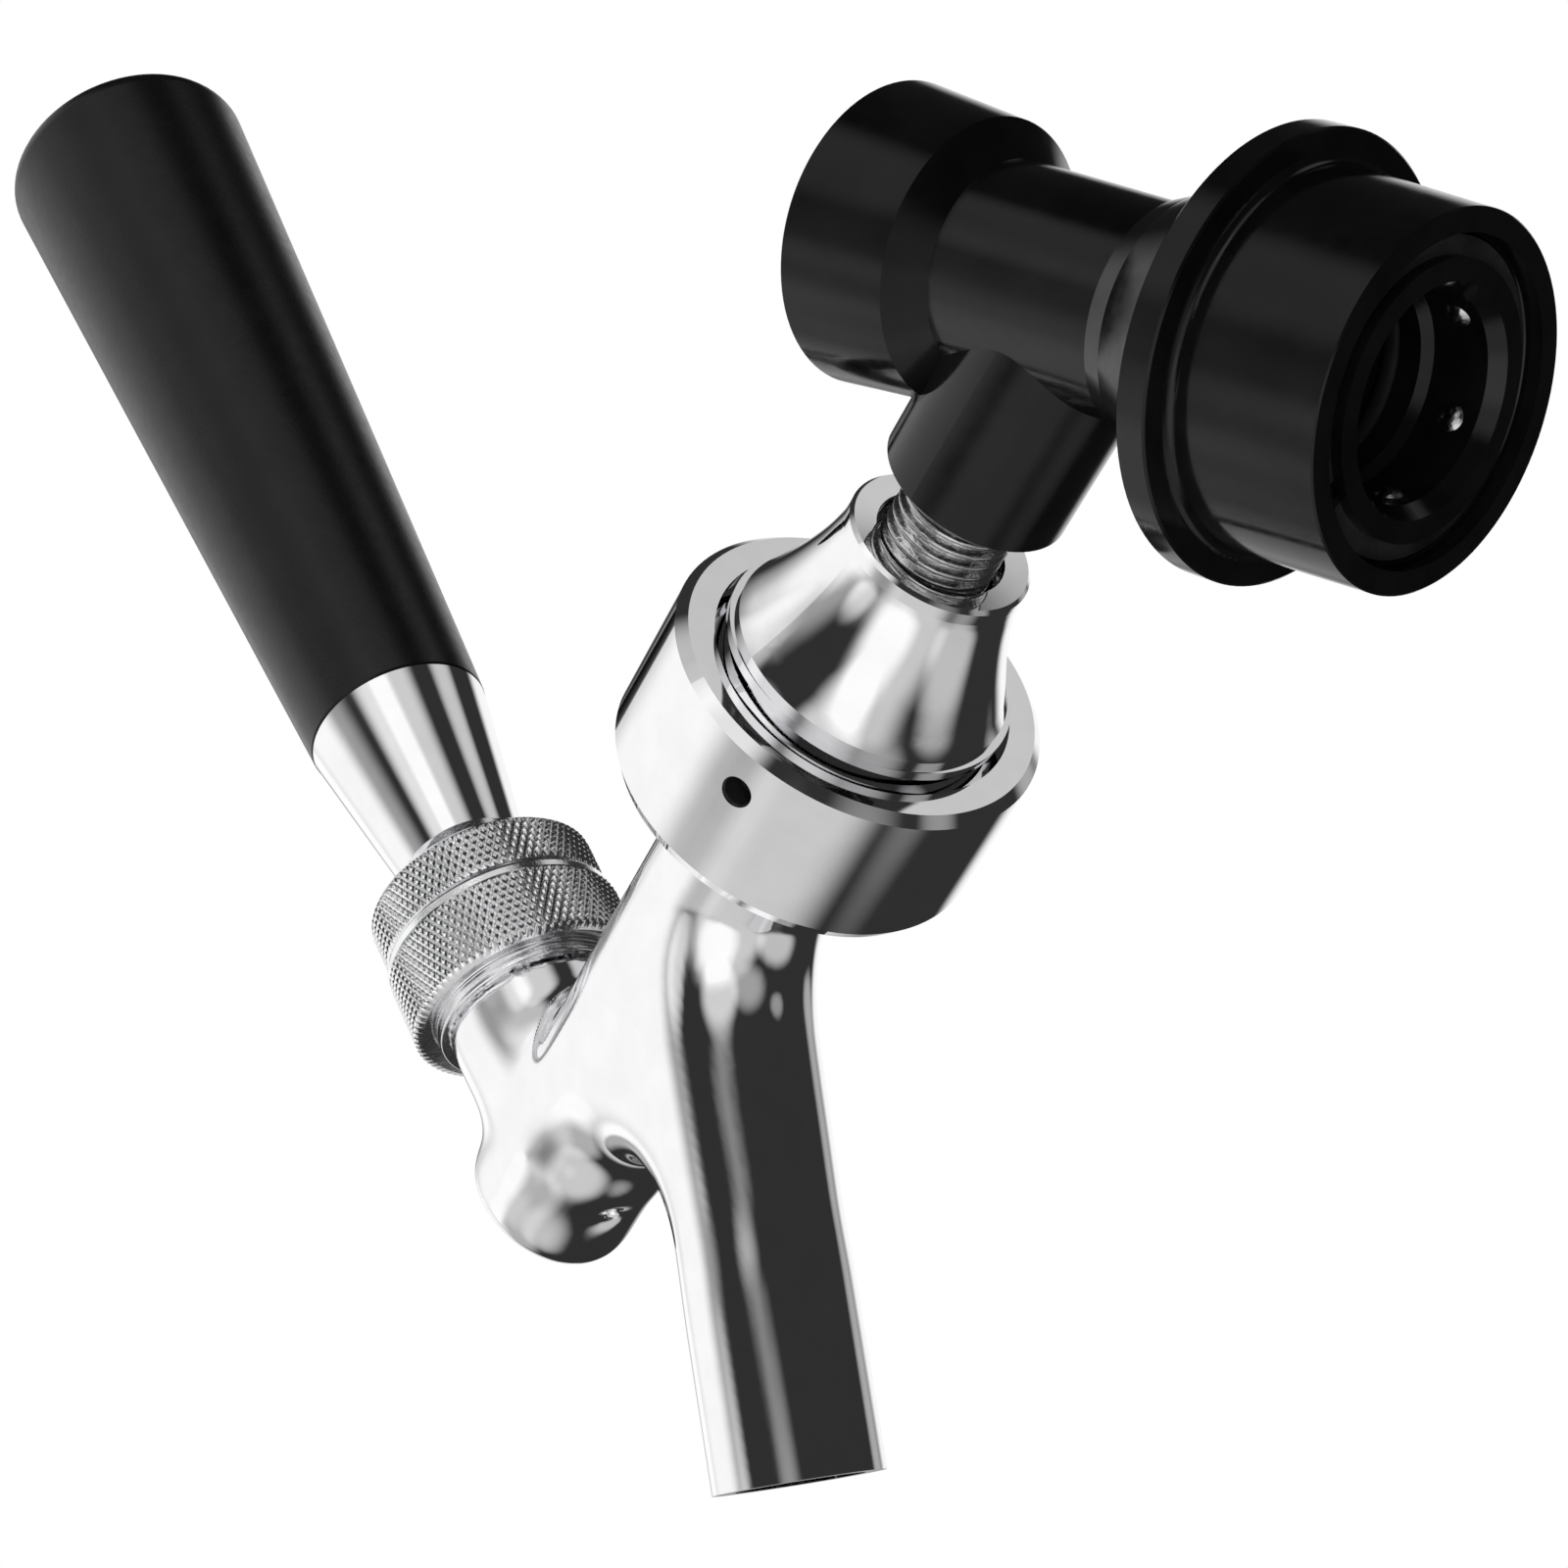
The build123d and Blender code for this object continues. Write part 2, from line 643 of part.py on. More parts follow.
def handle_ferrule():
    low, high = ferrule_low_z - pivot_z, ferrule_top_z - pivot_z
    body = turned([
        (0, low), (ferrule_low_r - ferrule_edge, low), (ferrule_low_r, low + ferrule_edge), (ferrule_top_r, high),
        (grip_insert_r, high), (grip_insert_r, high + grip_insert_depth), (0, high + grip_insert_depth)])
    stem = rod(lever_stem_r + static_gap, low - 1, low + 1)
    thread = rod(lever_stem_r + 0.55 + static_gap, low + 0.5, lever_thread_top_z - pivot_z + 1.5)
    return on_lever(body - stem - thread)


def grip():
    low, high = ferrule_top_z - pivot_z + seat_gap, grip_top_z - pivot_z
    body = turned([(0, low), (grip_r_low - 0.2, low), (grip_r_low, low + 0.3), (grip_r_top, high), (0, high)])
    body = fillet(body.edges().sort_by(Axis.Z)[-1], grip_edge)
    pocket = rod(grip_insert_r + static_gap, low - 1, low + grip_insert_depth + 0.5)
    return on_lever(body - pocket)


def build():
    os.makedirs("parts", exist_ok=True)
    save("disconnect_body", disconnect_body())
    save("retaining_ring", retaining_ring())
    save("locking_sleeve", locking_sleeve())
    save("sleeve_spring", sleeve_spring())
    save("socket_o_ring", socket_o_ring())
    save("top_cap", top_cap())
    save("cap_gasket", cap_gasket())
    save("poppet_pin", poppet_pin())
    save("poppet_seal", poppet_seal())
    save("poppet_spring", poppet_spring())
    for i, angle in enumerate(ball_places()):
        save("locking_ball_%d" % (i + 1), locking_ball(angle))
    save("threaded_stud", threaded_stud())
    save("stud_gasket", stud_gasket())
    save("adapter_cone", adapter_cone())
    save("coupling_nut", coupling_nut())
    save("coupling_washer", coupling_washer())
    save("tail_ring", tail_ring())
    save("faucet_body", faucet_body())
    save("plunger_shaft", plunger_shaft())
    save("valve_washer", valve_washer())
    save("valve_nut", valve_nut())
    save("ball_cup", ball_cup())
    save("friction_washer", friction_washer())
    save("compression_bonnet", compression_bonnet())
    save("bonnet_lock_ring", bonnet_lock_ring())
    save("lever", lever())
    save("handle_ferrule", handle_ferrule())
    save("grip", grip())


build()
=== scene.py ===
import json
import math
import bpy
import numpy as np
from mathutils import Matrix, Vector


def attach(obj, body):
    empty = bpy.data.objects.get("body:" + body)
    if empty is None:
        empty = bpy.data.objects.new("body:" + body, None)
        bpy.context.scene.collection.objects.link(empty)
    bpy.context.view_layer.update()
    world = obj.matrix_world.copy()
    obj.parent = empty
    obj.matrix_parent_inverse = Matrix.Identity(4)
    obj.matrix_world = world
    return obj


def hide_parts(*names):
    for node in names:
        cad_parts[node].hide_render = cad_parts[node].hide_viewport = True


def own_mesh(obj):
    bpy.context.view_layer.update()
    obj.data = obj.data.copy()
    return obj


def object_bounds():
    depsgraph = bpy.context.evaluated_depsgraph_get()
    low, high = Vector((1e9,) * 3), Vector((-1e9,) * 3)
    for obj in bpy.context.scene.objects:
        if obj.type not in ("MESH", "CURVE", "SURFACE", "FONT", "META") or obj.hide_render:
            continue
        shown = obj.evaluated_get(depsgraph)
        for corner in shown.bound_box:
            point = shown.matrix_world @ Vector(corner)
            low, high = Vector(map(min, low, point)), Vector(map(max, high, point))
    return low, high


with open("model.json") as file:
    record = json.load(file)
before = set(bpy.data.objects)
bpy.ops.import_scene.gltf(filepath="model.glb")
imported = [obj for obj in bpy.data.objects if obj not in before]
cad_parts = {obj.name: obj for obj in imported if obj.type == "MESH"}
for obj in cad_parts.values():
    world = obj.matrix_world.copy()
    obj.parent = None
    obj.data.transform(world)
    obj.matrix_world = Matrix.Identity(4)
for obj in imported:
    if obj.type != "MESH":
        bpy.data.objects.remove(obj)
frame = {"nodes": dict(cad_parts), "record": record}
cad_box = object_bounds()

MM = 0.001
Z0 = 8.2                       # the origin's height above the sleeve's rim, mm
LEAN = math.radians(28.7)      # the branch above the horizontal
TURN = math.radians(15.35)     # the faucet about the branch
BRANCH_Z, NUT_FRONT = 38.2, 49.45
COLUMN_X = 69.93

branch_way = Vector((math.cos(LEAN), 0, math.sin(LEAN)))
branch_up = Vector((-math.sin(LEAN), 0, math.cos(LEAN)))
column_way = branch_up * math.cos(TURN) + Vector((0, -1, 0)) * math.sin(TURN)


def axes(origin, x, z):
    """Millimetre frame to metre world, from an origin and two axes."""
    x, z = Vector(x).normalized(), Vector(z).normalized()
    turned = Matrix((x, z.cross(x), z)).transposed().to_4x4()
    return Matrix.Translation(Vector(origin) * MM) @ turned @ Matrix.Scale(MM, 4)


ROOT = Vector((0, 0, BRANCH_Z - Z0))
BRANCH = axes(ROOT, (0, 1, 0), branch_way)
FAUCET = axes(ROOT + branch_way * NUT_FRONT, branch_way, column_way)
COLUMN = FAUCET @ Matrix.Translation((COLUMN_X, 0, 0))


# --- materials ---------------------------------------------------------------
def nodes_of(name):
    mat = bpy.data.materials.new(name)
    mat.use_nodes = True
    return mat, mat.node_tree, mat.node_tree.nodes["Principled BSDF"]


def noise(tree, scale, detail):
    coord = tree.nodes.new("ShaderNodeTexCoord")
    tex = tree.nodes.new("ShaderNodeTexNoise")
    tex.inputs["Scale"].default_value = scale
    tex.inputs["Detail"].default_value = detail
    tree.links.new(coord.outputs["Object"], tex.inputs["Vector"])
    return tex.outputs["Fac"]


def ramp(tree, fac, stops):
    node = tree.nodes.new("ShaderNodeValToRGB")
    els = node.color_ramp.elements
    while len(els) < len(stops):
        els.new(0.5)
    for el, (pos, col) in zip(els, stops):
        el.position = pos
        el.color = (*col, 1)
    tree.links.new(fac, node.inputs["Fac"])
    return node.outputs["Color"]


def spread(tree, fac, low, high):
    node = tree.nodes.new("ShaderNodeMapRange")
    node.inputs["From Min"].default_value = 0.3
    node.inputs["From Max"].default_value = 0.7
    node.inputs["To Min"].default_value = low
    node.inputs["To Max"].default_value = high
    tree.links.new(fac, node.inputs["Value"])
    return node.outputs["Result"]


def bump(tree, fac, shader, strength, distance):
    node = tree.nodes.new("ShaderNodeBump")
    node.inputs["Strength"].default_value = strength
    node.inputs["Distance"].default_value = distance
    tree.links.new(fac, node.inputs["Height"])
    tree.links.new(node.outputs["Normal"], shader.inputs["Normal"])


def maths(tree, kind, a, b=None):
    node = tree.nodes.new("ShaderNodeMath")
    node.operation = kind
    for socket, value in zip(node.inputs, (a, b)):
        if isinstance(value, (int, float)):
            socket.default_value = value
        elif value is not None:
            tree.links.new(value, socket)
    return node.outputs[0]


def metal(name, dark, light, rough, wave_scale, wave, metallic=1.0):
    mat, tree, shader = nodes_of(name)
    shader.inputs["Metallic"].default_value = metallic
    tone = ramp(tree, noise(tree, 260, 4), [(0.3, dark), (0.7, light)])
    tree.links.new(tone, shader.inputs["Base Color"])
    tree.links.new(spread(tree, noise(tree, 900, 5), *rough), shader.inputs["Roughness"])
    bump(tree, noise(tree, wave_scale, 2), shader, wave, 0.0002)
    return mat


def plastic(name, dark, light, rough, wave_scale, wave):
    mat, tree, shader = nodes_of(name)
    shader.inputs["IOR"].default_value = 1.4
    tone = ramp(tree, noise(tree, 180, 5), [(0.3, dark), (0.7, light)])
    tree.links.new(tone, shader.inputs["Base Color"])
    tree.links.new(spread(tree, noise(tree, 700, 6), *rough), shader.inputs["Roughness"])
    bump(tree, noise(tree, wave_scale, 3), shader, wave, 0.0002)
    return mat


# Each look: name, darkest and lightest colour, roughness range, wave scale and depth.
CHROME = metal("chrome_plate", (0.90, 0.90, 0.91), (0.95, 0.95, 0.96),
               (0.03, 0.06), 60, 0.015)
KNURL = metal("chrome_knurl", (0.88, 0.88, 0.89), (0.96, 0.96, 0.97),
              (0.10, 0.18), 3000, 0.12)
STEEL = metal("machined_steel", (0.55, 0.55, 0.55), (0.72, 0.72, 0.71),
              (0.16, 0.28), 2500, 0.2)
BLACKED = metal("blacked_steel", (0.02, 0.02, 0.02), (0.05, 0.05, 0.05),
                (0.35, 0.5), 1800, 0.3, 0.6)
GLOSS = plastic("black_moulding", (0.002, 0.002, 0.002), (0.005, 0.005, 0.005),
                (0.09, 0.17), 90, 0.06)
SATIN = plastic("black_grip", (0.003, 0.003, 0.003), (0.006, 0.006, 0.006),
                (0.26, 0.33), 2400, 0.08)
RUBBER = plastic("seal_rubber", (0.006, 0.006, 0.006), (0.012, 0.012, 0.012),
                 (0.5, 0.65), 1500, 0.3)
NYLON = plastic("nylon", (0.66, 0.65, 0.60), (0.80, 0.79, 0.74),
                (0.35, 0.5), 900, 0.2)

LOOKS = {"black_plastic": GLOSS, "grip_plastic": SATIN, "chrome": CHROME, "stainless": STEEL,
         "dark_steel": BLACKED, "rubber": RUBBER, "nylon": NYLON}


# --- mesh building -------------------------------------------------------------
def make(name, verts, faces, matrix, body, look, replaced=(), angle=34):
    mesh = bpy.data.meshes.new(name)
    mesh.from_pydata([tuple(matrix @ Vector(v)) for v in verts], [], faces)
    mesh.validate()
    for poly in mesh.polygons:
        poly.use_smooth = True
    mesh.set_sharp_from_angle(angle=math.radians(angle))
    piece = bpy.data.objects.new(name, mesh)
    bpy.context.collection.objects.link(piece)
    mesh.materials.append(look)
    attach(piece, body)
    if replaced:
        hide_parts(*replaced)
    return piece


ARC_STEPS = 6


def rounded(points):
    """Open run of (r, z[, radius]) corners, each inner corner with a radius turned into an arc."""
    out = []
    for i, p in enumerate(points):
        here = Vector(p[:2])
        radius = p[2] if len(p) > 2 else 0.0
        if radius <= 0 or i in (0, len(points) - 1):
            out.append(tuple(here))
            continue
        before = Vector(points[i - 1][:2]) - here
        after = Vector(points[i + 1][:2]) - here
        lb, la = before.length, after.length
        before.normalize()
        after.normalize()
        half = before.angle(after) / 2
        cut = min(radius / math.tan(half), 0.45 * lb, 0.45 * la)
        radius = cut * math.tan(half)
        centre = here + (before + after).normalized() * (radius / math.sin(half))
        start, end = here + before * cut, here + after * cut
        a0 = math.atan2(start.y - centre.y, start.x - centre.x)
        a1 = math.atan2(end.y - centre.y, end.x - centre.x)
        while a1 - a0 > math.pi:
            a1 -= 2 * math.pi
        while a1 - a0 < -math.pi:
            a1 += 2 * math.pi
        gap = min(0.12, cut * 0.25, 0.2 * lb, 0.2 * la)
        out.append(tuple(start + before * gap))
        for k in range(ARC_STEPS + 1):
            a = a0 + (a1 - a0) * k / ARC_STEPS
            out.append((centre.x + radius * math.cos(a), centre.y + radius * math.sin(a)))
        out.append(tuple(end + after * gap))
    return out


def spin(name, profile, matrix, body, look, replaced=(), seg=160, shape=None, angle=34):
    """Closed profile turned about z; shape(radius, height, angle) may change the radius."""
    verts, faces, rings = [], [], []
    for r, z in profile:
        if r < 1e-6:
            rings.append([len(verts)])
            verts.append((0, 0, z))
            continue
        ring = []
        for k in range(seg):
            a = 2 * math.pi * k / seg
            rr = shape(r, z, a) if shape else r
            ring.append(len(verts))
            verts.append((rr * math.cos(a), rr * math.sin(a), z))
        rings.append(ring)
    for one, two in zip(rings, rings[1:] + rings[:1]):
        if len(one) == 1 and len(two) == 1:
            continue
        for k in range(seg):
            j = (k + 1) % seg
            if len(one) == 1:
                faces.append((one[0], two[j], two[k]))
            elif len(two) == 1:
                faces.append((one[k], one[j], two[0]))
            else:
                faces.append((one[k], one[j], two[j], two[k]))
    return make(name, verts, faces, matrix, body, look, replaced, angle)


def tri(x):
    """Triangle wave, 0 at whole numbers and 1 halfway."""
    return 1 - abs(2 * (x - math.floor(x)) - 1)


KNURL_STEPS = 8                # mesh steps along one diamond, each way
KNURL_FROM_R = 11              # bores and spigots inside this stay plain
KNURL_LEAD, KNURL_STEEP = 1.73, 1.5


class Knurl:
    """Diamond knurl between two heights, its rows in step with the mesh."""

    def __init__(self, r, low, high, count, depth):
        self.low, self.high, self.count, self.depth = low, high, count, depth
        self.pitch = 2 * math.pi * r / count * KNURL_LEAD
        rows = max(4, round((high - low) / self.pitch * KNURL_STEPS))
        self.pitch = (high - low) / rows * KNURL_STEPS
        self.heights = [low + (high - low) * i / rows for i in range(rows + 1)]

    def shape(self, r, z, a):
        if z < self.low - 1e-6 or z > self.high + 1e-6 or r < KNURL_FROM_R:
            return r
        turn = a * self.count / (2 * math.pi)
        rise = (z - self.low) / self.pitch
        cut = min(tri(turn + rise), tri(turn - rise))
        return r - self.depth * (1 - min(1.0, cut * KNURL_STEEP))


# --- camera ----------------------------------------------------------------------
cam_data = bpy.data.cameras.new("camera")
cam_data.sensor_width = 36.0
cam_data.lens = 101.25
cam_data.clip_start = 0.01
cam = bpy.data.objects.new("camera", cam_data)
bpy.context.collection.objects.link(cam)
right = Vector((-0.06064513, -0.70021845, -0.71134822))
upward = Vector((-0.92466254, -0.22899178, 0.30423995))
back = Vector((-0.37592732, 0.67620773, -0.63357853))
cam.matrix_world = Matrix.Translation((-0.10451173, 0.29109459, -0.20991483)) @ Matrix(
    (right, upward, back)).transposed().to_4x4()
bpy.context.scene.camera = cam

# --- CAD nodes' materials -----------------------------------------------------------
SLOT_OF = {part["node"]: part["material_slot"] for part in frame["record"]["subparts"]}
for node, piece in frame["nodes"].items():
    for place in piece.material_slots:
        place.material = LOOKS[SLOT_OF[node]]

# --- knurled rings ----------------------------------------------------------------------
# Turned profiles of (radius, height[, corner radius]), mm on the column's axis.
FRICTION_TOP, RING_TOP, BELL_LOW_R, BELL_TOP_R = 24.2, 33.3, 6.5, 10.1
SPIGOT_R, SPIGOT_LOW = 10.6, 25.25
CUP_R, HUB_R, GROOVE_R = 9.04, 10.9, 10.55
KNURL_DEPTH, KNURL_ANGLE = 0.34, 26
LOWER_R, LOWER_COUNT, LOWER_SPAN = 13.3, 84, (17.75, 25.35)
UPPER_R, UPPER_COUNT, UPPER_SPAN = 12.85, 80, (27.45, 32.55)
UPPER_TIP_R = 12.8


def bell(z):
    return BELL_LOW_R + (BELL_TOP_R - BELL_LOW_R) * (z - FRICTION_TOP) / (RING_TOP - FRICTION_TOP)


lower = Knurl(LOWER_R, *LOWER_SPAN, LOWER_COUNT, KNURL_DEPTH)
bonnet = rounded([
    (CUP_R, 15.75), (HUB_R, 15.75, 0.25), (HUB_R, 16.45, 0.15), (GROOVE_R, 16.7, 0.15),
    (GROOVE_R, 16.95, 0.15), (HUB_R, 17.15, 0.15), (10.95, 17.32), (12.3, 17.17, 0.1),
    (12.95, 17.45)])
bonnet += [(LOWER_R, z) for z in lower.heights]
bonnet += rounded([
    (13.0, 25.38), (13.12, 25.6), (13.12, 26.42, 0.2), (12.8, 26.45), (SPIGOT_R, 26.45),
    (SPIGOT_R, SPIGOT_LOW), (bell(SPIGOT_LOW), SPIGOT_LOW), (bell(24.22), 24.22), (CUP_R, 24.22)])
spin("bonnet_knurled", bonnet, COLUMN, "coupler", KNURL, ["compression_bonnet"],
     seg=LOWER_COUNT * KNURL_STEPS, shape=lower.shape, angle=KNURL_ANGLE)

upper = Knurl(UPPER_R, *UPPER_SPAN, UPPER_COUNT, KNURL_DEPTH)
lock_ring = rounded([
    (bell(25.27), 25.27), (10.56, 25.27), (10.56, 26.95), (12.4, 26.95, 0.15),
    (12.72, 27.12, 0.12)])
lock_ring += [(UPPER_TIP_R, z) for z in upper.heights]
lock_ring += rounded([
    (12.7, 32.6), (12.6, 32.75, 0.1), (12.1, 33.22, 0.15), (11.7, RING_TOP),
    (bell(RING_TOP), RING_TOP)])
spin("lock_ring_knurled", lock_ring, COLUMN, "coupler", KNURL, ["bonnet_lock_ring"],
     seg=UPPER_COUNT * KNURL_STEPS, shape=upper.shape, angle=KNURL_ANGLE)

# --- threaded stud ----------------------------------------------------------------------
STUD_R, STUD_BORE, STUD_LOW, STUD_HIGH = 5.8, 2.6, 15.27, 39.55
THREAD_PITCH, THREAD_DEPTH = 1.35, 0.62
THREAD_FROM_R, THREAD_ROWS = 5, 12        # the bore stays plain; mesh rows to one pitch
STUD_CHAMFER, RUN_IN, RUN_OUT = 0.5, 0.7, 0.5


def thread(r, z, a):
    if r < THREAD_FROM_R or z < STUD_LOW + RUN_IN or z > STUD_HIGH - RUN_OUT:
        return r
    wave = tri(z / THREAD_PITCH - a / (2 * math.pi))
    return r - THREAD_DEPTH * (1 - min(1.0, max(0.0, wave * 1.35 - 0.12)))


plain = STUD_HIGH - STUD_LOW - 2 * STUD_CHAMFER
rows = round(plain / THREAD_PITCH * THREAD_ROWS)
stud = [(STUD_BORE, STUD_LOW), (STUD_R - STUD_CHAMFER, STUD_LOW)]
stud += [(STUD_R, STUD_LOW + STUD_CHAMFER + plain * i / rows) for i in range(rows + 1)]
stud += [(STUD_R - STUD_CHAMFER, STUD_HIGH), (STUD_BORE, STUD_HIGH)]
spin("stud_thread", stud, BRANCH, "coupler", STEEL, ["threaded_stud"],
     seg=144, shape=thread, angle=50)

# --- spanner hole, with a dark cup in it as painted shade ----------------------------------
NUT_R, HOLE_R, HOLE_DEPTH = 19.0, 1.6, 3.2
HOLE_X, HOLE_TURN = 4.72, math.radians(-30.6)
# Inner and outer walls of the dark cup that paints the shade inside the hole.
SHADE_CUP_IN, SHADE_CUP_OUT = HOLE_R - 0.12, HOLE_R - 0.03
out_way = Vector((0, math.cos(HOLE_TURN), math.sin(HOLE_TURN)))
side_way = out_way.cross(Vector((1, 0, 0)))
HOLE = FAUCET @ Matrix(((1, side_way.x, out_way.x, HOLE_X), (0, side_way.y, out_way.y, 0),
                        (0, side_way.z, out_way.z, 0), (0, 0, 0, 1)))
bottom, top = NUT_R - HOLE_DEPTH, NUT_R - 0.35
# A thin dark cup on the hole's walls and bottom is painted shade, so that the hole reads dark
# inside.
spin("spanner_hole_painted_shade",
     [(0, bottom + 0.25), (SHADE_CUP_IN, bottom + 0.25), (SHADE_CUP_IN, top),
      (SHADE_CUP_OUT, top), (SHADE_CUP_OUT, bottom + 0.05), (0, bottom + 0.05)],
     HOLE, "coupling_nut", BLACKED, seg=48)

# --- cast body ---------------------------------------------------------------------------
# The faucet body's own solid, remeshed and smoothed where its round forms meet, as a
# casting's are.
CAST_VOXEL = 0.00034
SMOOTH_PASSES, SOFT_PASSES = 12, 170
SHRINK, SWELL = 0.5, 0.52
HUB, HUB_SPAN = (66, 0, -1), (17, 40, 13)              # where the casting is softest, mm
CROTCH, CROTCH_SPAN = (52, 0, -16), (16, 40, 17)
SOFT_OUT, SOFT_BAND = 1.25, 0.45
SPOUT_X, SPOUT_REACH, SPOUT_R, SPOUT_BORE = 36.9, 55.8, 8.7, 6.6
TURNED_FROM, TURNED_FULL = 27.0, 42.0
SPOUT_ANGLE = math.radians(62)


def true_spout(points, back_to_mm):
    """Puts the plain turned end of the spout back on its exact cylinders and end face."""
    local = points @ back_to_mm[:3, :3].T + back_to_mm[:3, 3]
    way = np.array((math.cos(SPOUT_ANGLE), 0, -math.sin(SPOUT_ANGLE)))
    from_corner = local - (SPOUT_X, 0, 0)
    along = from_corner @ way
    across = from_corner - along[:, None] * way
    r = np.linalg.norm(across, axis=1)
    turned = (along > TURNED_FROM) & (r < SPOUT_R + 1)
    end_face = (turned & (along > SPOUT_REACH - 0.3)
                & (r > SPOUT_BORE + 0.25) & (r < SPOUT_R - 0.25))
    outside = turned & ~end_face & (r > (SPOUT_R + SPOUT_BORE) / 2)
    inside = turned & ~end_face & ~outside
    along[turned & (along > SPOUT_REACH - 0.3)] = SPOUT_REACH
    share = np.clip((along - TURNED_FROM) / (TURNED_FULL - TURNED_FROM), 0, 1)
    share = share * share * (3 - 2 * share)
    front = (along < TURNED_FULL) & (across[:, 2] > 0)     # the web's side keeps its own form
    share = np.where(front & (r > SPOUT_R + 0.15), 0, share)
    fresh = r.copy()
    fresh[outside] += share[outside] * (SPOUT_R - r[outside])
    fresh[inside] += share[inside] * (SPOUT_BORE - r[inside])
    exact = (np.array((SPOUT_X, 0, 0)) + along[:, None] * way
             + across / np.maximum(r, 1e-9)[:, None] * fresh[:, None])
    local = np.where(turned[:, None], exact, local)
    forward = np.array(FAUCET)
    return local @ forward[:3, :3].T + forward[:3, 3]


def cast_body():
    source = frame["nodes"]["faucet_body"]
    rough = bpy.data.objects.new("cast_source", source.data.copy())
    bpy.context.collection.objects.link(rough)
    remesh = rough.modifiers.new("voxels", "REMESH")
    remesh.mode = "VOXEL"
    remesh.voxel_size = CAST_VOXEL
    bpy.context.view_layer.update()
    done = rough.evaluated_get(bpy.context.evaluated_depsgraph_get())
    mesh = bpy.data.meshes.new_from_object(done)
    bpy.data.objects.remove(rough)
    count = len(mesh.vertices)
    v = np.empty(count * 3)
    mesh.vertices.foreach_get("co", v)
    v = v.reshape(-1, 3)
    e = np.empty(len(mesh.edges) * 2, dtype=np.int32)
    mesh.edges.foreach_get("vertices", e)
    e = e.reshape(-1, 2)
    degree = np.bincount(e.ravel(), minlength=count)[:, None]

    def drift(points):
        total = np.stack([np.bincount(e[:, 0], points[e[:, 1], k], count)
                          + np.bincount(e[:, 1], points[e[:, 0], k], count)
                          for k in range(3)], axis=1)
        return total / degree - points

    back_to_mm = np.array(FAUCET.inverted())
    local = v @ back_to_mm[:3, :3].T + back_to_mm[:3, 3]
    near = np.minimum(np.linalg.norm((local - HUB) / HUB_SPAN, axis=1),
                      np.linalg.norm((local - CROTCH) / CROTCH_SPAN, axis=1))
    soft = np.clip((SOFT_OUT - near) / SOFT_BAND, 0, 1)
    soft = (soft * soft * (3 - 2 * soft))[:, None]
    for _ in range(SMOOTH_PASSES):
        v = v + SHRINK * drift(v)
        v = v - SWELL * drift(v)
    for _ in range(SOFT_PASSES):
        v = v + SHRINK * soft * drift(v)
    v = true_spout(v, back_to_mm)
    mesh.vertices.foreach_set("co", v.ravel())
    mesh.polygons.foreach_set("use_smooth", [True] * len(mesh.polygons))
    mesh.set_sharp_from_angle(angle=math.radians(50))
    mesh.materials.clear()
    mesh.materials.append(CHROME)
    mesh.update()
    piece = bpy.data.objects.new("faucet_casting", mesh)
    bpy.context.collection.objects.link(piece)
    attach(piece, "coupler")
    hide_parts("faucet_body")


cast_body()

# --- springs, steel coils that ride the coupler ----------------------------------------------
for node, joint in (("sleeve_spring", "sleeve_slide"), ("poppet_spring", "poppet_slide")):
    coil = bpy.data.objects.new(node + "_coil", frame["nodes"][node].data.copy())
    bpy.context.collection.objects.link(coil)
    coil.data.materials.clear()
    coil.data.materials.append(STEEL)
    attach(coil, "coupler")
    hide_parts(node)
    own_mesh(coil)

# --- stage ------------------------------------------------------------------------------
FLOOR_HALF, FADE_START, FADE_END = 3.0, 0.30, 1.0
FLOOR_GAP = 0.0005
floor_z = cad_box[0][2] - FLOOR_GAP
mid_x, mid_y = (cad_box[0][0] + cad_box[1][0]) / 2, (cad_box[0][1] + cad_box[1][1]) / 2
floor_mesh = bpy.data.meshes.new("floor")
floor_mesh.from_pydata([(-FLOOR_HALF, -FLOOR_HALF, 0), (FLOOR_HALF, -FLOOR_HALF, 0),
                        (FLOOR_HALF, FLOOR_HALF, 0), (-FLOOR_HALF, FLOOR_HALF, 0)],
                       [], [(0, 1, 2, 3)])
floor = bpy.data.objects.new("floor", floor_mesh)
bpy.context.collection.objects.link(floor)
floor.location = (mid_x, mid_y, floor_z)

# The floor shows from above only and fades out to the white surround, so that the
# view from below isn't shut off by it.
paper, pt, paper_shader = nodes_of("paper")
paper_shader.inputs["Base Color"].default_value = (0.86, 0.86, 0.86, 1)
paper_shader.inputs["Roughness"].default_value = 0.9
paper_shader.inputs["Specular IOR Level"].default_value = 0.1
floor_ray = pt.nodes.new("ShaderNodeLightPath")
side = pt.nodes.new("ShaderNodeNewGeometry")
floor_coord = pt.nodes.new("ShaderNodeTexCoord")
reach = pt.nodes.new("ShaderNodeVectorMath")
reach.operation = "LENGTH"
pt.links.new(floor_coord.outputs["Object"], reach.inputs[0])
fade = pt.nodes.new("ShaderNodeMapRange")
fade.interpolation_type = "SMOOTHSTEP"
fade.inputs["From Min"].default_value = FADE_START
fade.inputs["From Max"].default_value = FADE_END
fade.inputs["To Min"].default_value = 1.0
fade.inputs["To Max"].default_value = 0.0
pt.links.new(reach.outputs["Value"], fade.inputs["Value"])
seen = maths(pt, "SUBTRACT", 1.0, side.outputs["Backfacing"])
seen = maths(pt, "MULTIPLY", floor_ray.outputs["Is Camera Ray"], seen)
seen = maths(pt, "MULTIPLY", seen, fade.outputs["Result"])
clear = pt.nodes.new("ShaderNodeBsdfTransparent")
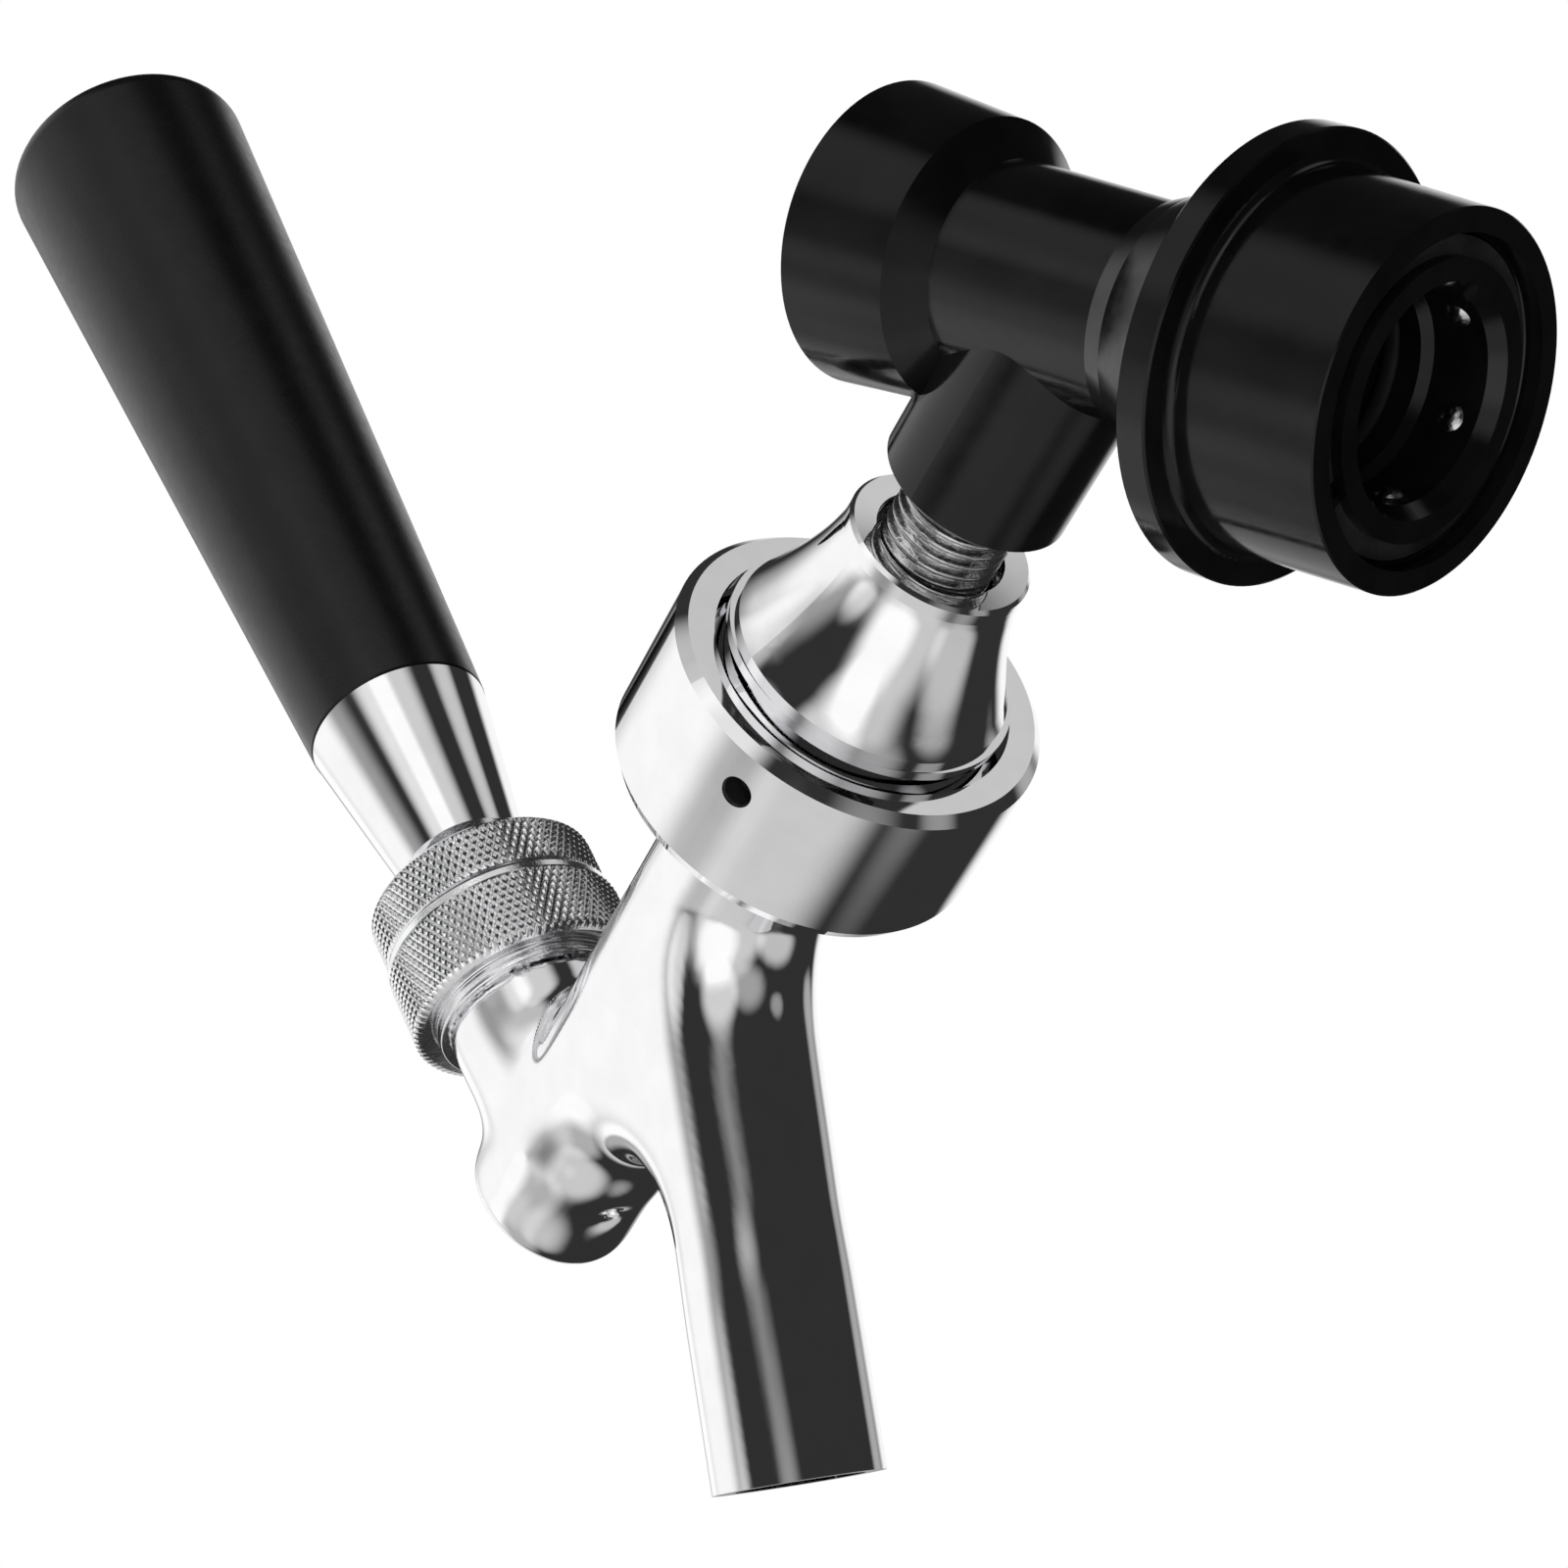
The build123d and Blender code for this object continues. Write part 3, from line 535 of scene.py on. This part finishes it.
mix = pt.nodes.new("ShaderNodeMixShader")
pt.links.new(seen, mix.inputs["Fac"])
pt.links.new(clear.outputs[0], mix.inputs[1])
pt.links.new(paper_shader.outputs[0], mix.inputs[2])
pt.links.new(mix.outputs[0], pt.nodes["Material Output"].inputs["Surface"])
floor_mesh.materials.append(paper)

# --- light ------------------------------------------------------------------------------
# The studio round the object is painted on the world: a dim room with soft white
# panels. Each is given by its direction (turn and height about the camera's axes at
# rest, in degrees), its inner and outer half-width and its brightness. The panels
# stay where they are when another view moves the camera.
ROOM, PANEL_GAIN, BRIGHTEST = 0.03, 1.12, 1.05
PANELS = [
    (-124, 2, 25, 45, 0.59),       # pale backdrop, left of the middle
    (-105, 7, 25, 45, 0.28),
    (-160, -26, 12, 28, 0.60),
    (163, 7, 12, 28, 0.85),        # backdrop, right of the middle
    (-108, -44, 12, 28, 0.38),
    (-77, -27, 12, 28, 0.18),
    (-70, -15, 4, 16, 0.40),
    (-8, -12, 12, 28, 0.57),       # front panel
    (-21, -55, 25, 45, 0.52),      # its lower part, which falls off downwards
    (-27, -42, 12, 28, 0.40),
    (-29, 34, 12, 28, 0.70),       # overhead panels
    (-16, 62, 12, 28, 0.55),
    (-82, 44, 12, 28, 0.45),
    (83, -54, 12, 28, 0.45),       # low and high panels on the right
    (108, 54, 4, 16, 0.50),
    (30, -18, 6, 26, 0.30),        # fall-off beside the front panel
    (68, 0, 2, 12, 0.25),
    (128, 0, 3, 14, 0.35),
]

world = bpy.data.worlds.new("studio")
bpy.context.scene.world = world
world.use_nodes = True
wt = world.node_tree
bg = wt.nodes["Background"]
world_coord = wt.nodes.new("ShaderNodeTexCoord")


def panel(turn_deg, high_deg, inner, outer, level):
    turn, high = math.radians(turn_deg), math.radians(high_deg)
    to = (right * math.sin(turn) * math.cos(high) + upward * math.sin(high)
          + back * math.cos(turn) * math.cos(high))
    dot = wt.nodes.new("ShaderNodeVectorMath")
    dot.operation = "DOT_PRODUCT"
    wt.links.new(world_coord.outputs["Generated"], dot.inputs[0])
    dot.inputs[1].default_value = to
    step = wt.nodes.new("ShaderNodeMapRange")
    step.interpolation_type = "SMOOTHSTEP"
    step.inputs["From Min"].default_value = math.cos(math.radians(outer))
    step.inputs["From Max"].default_value = math.cos(math.radians(inner))
    step.inputs["To Min"].default_value = 0.0
    step.inputs["To Max"].default_value = level * PANEL_GAIN
    wt.links.new(dot.outputs["Value"], step.inputs["Value"])
    return step.outputs["Result"]


level = maths(wt, "ADD", ROOM, 0.0)
for spec in PANELS:
    level = maths(wt, "ADD", level, panel(*spec))
level = maths(wt, "MINIMUM", level, BRIGHTEST)
world_ray = wt.nodes.new("ShaderNodeLightPath")
level = maths(wt, "MAXIMUM", level, world_ray.outputs["Is Camera Ray"])
wt.links.new(level, bg.inputs["Strength"])
bg.inputs["Color"].default_value = (1, 1, 1, 1)


middle = Vector((mid_x, mid_y, (cad_box[0][2] + cad_box[1][2]) / 2))


def lamp(name, at, size, power):
    data = bpy.data.lights.new(name, "AREA")
    data.shape = "DISK"
    data.size = size
    data.energy = power
    obj = bpy.data.objects.new(name, data)
    bpy.context.collection.objects.link(obj)
    obj.location = middle + Vector(at)
    obj.rotation_euler = (middle - obj.location).to_track_quat("-Z", "Y").to_euler()
    obj.visible_glossy = False


lamp("lamp_high", (-0.35, -0.30, 0.95), 0.6, 9.0)
lamp("lamp_side", (0.9, 0.35, 0.25), 0.7, 4.0)
lamp("lamp_low", (-0.35, 0.75, -0.6), 0.7, 4.0)

bpy.context.scene.view_settings.view_transform = "Standard"
